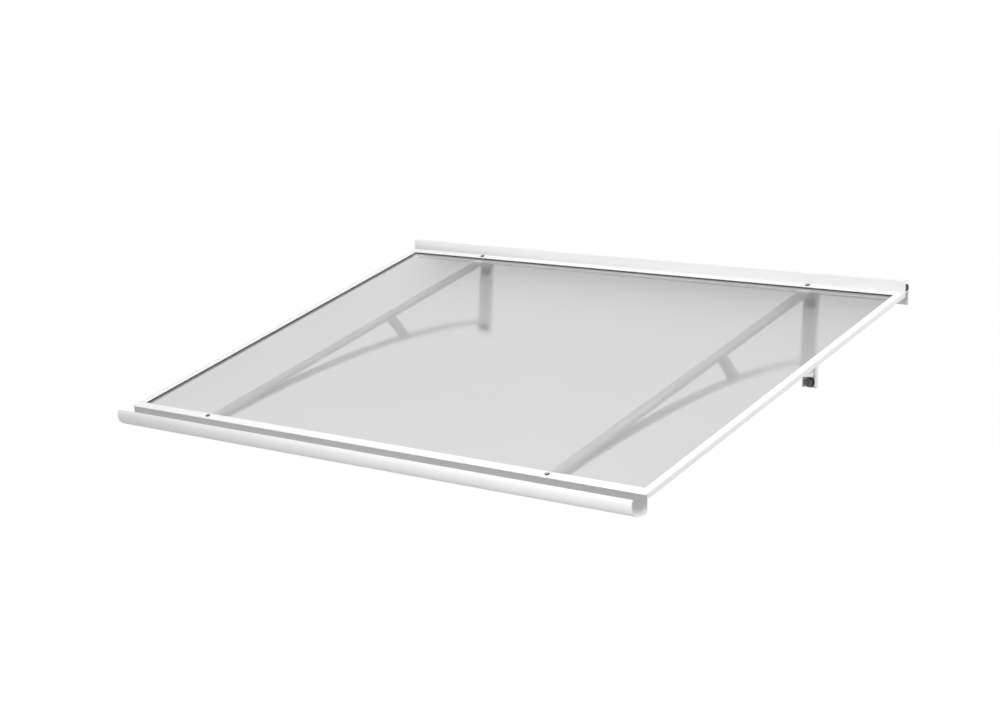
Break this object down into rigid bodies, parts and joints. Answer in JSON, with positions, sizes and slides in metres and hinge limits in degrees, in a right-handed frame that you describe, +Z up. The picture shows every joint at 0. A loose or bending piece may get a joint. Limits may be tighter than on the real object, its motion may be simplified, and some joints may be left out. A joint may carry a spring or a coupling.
{
  "type": "door canopy",
  "caption": "Door canopy with a frosted pane in a white aluminium frame, a rain gutter along the front and wall brackets below.",
  "frame": {"origin": "on the wall's face, at the middle of the wall rail's flat back leg, halfway along the canopy", "axes": "+Z up, +X to the right seen from the front, -Y out from the wall towards the gutter"},
  "size_m": [1.4, 1.0034, 0.3376],
  "materials": {
    "white_coat": "white powder coat, satin",
    "frosted_pane": "frosted underside, glossy top",
    "black_rubber": "matt black rubber",
    "dark_bolt": "dark coated steel",
    "stainless": "plain stainless steel",
    "key_alloy": "plain cast alloy"
  },
  "bodies": {
    "root": {"pane": "frosted_pane", "side_profile_left": "white_coat", "side_profile_right": "white_coat", "front_gutter": "white_coat", "wall_rail": "white_coat", "pane_seal_left": "black_rubber", "pane_seal_right": "black_rubber", "pane_seal_front": "black_rubber", "pane_seal_rear": "black_rubber", "wall_seal": "black_rubber", "corner_key_front_left": "key_alloy", "corner_key_front_right": "key_alloy", "corner_key_rear_left": "key_alloy", "corner_key_rear_right": "key_alloy", "arm_left": "white_coat", "arm_right": "white_coat", "strut_left": "white_coat", "strut_right": "white_coat", "brace_left": "white_coat", "brace_right": "white_coat", "strut_foot_left": "white_coat", "strut_foot_right": "white_coat", "wall_channel_left": "white_coat", "wall_channel_right": "white_coat", "wall_bolt_upper_left": "dark_bolt", "wall_bolt_upper_right": "dark_bolt", "wall_bolt_lower_left": "dark_bolt", "wall_bolt_lower_right": "dark_bolt", "washer_upper_left": "dark_bolt", "washer_upper_right": "dark_bolt", "washer_lower_left": "dark_bolt", "washer_lower_right": "dark_bolt", "lip_screw_front_left": "stainless", "lip_screw_front_right": "stainless", "lip_screw_rear_left": "stainless", "lip_screw_rear_right": "stainless", "lip_nut_front_left": "stainless", "lip_nut_front_right": "stainless", "lip_nut_rear_left": "stainless", "lip_nut_rear_right": "stainless"}
  },
  "joints": []
}
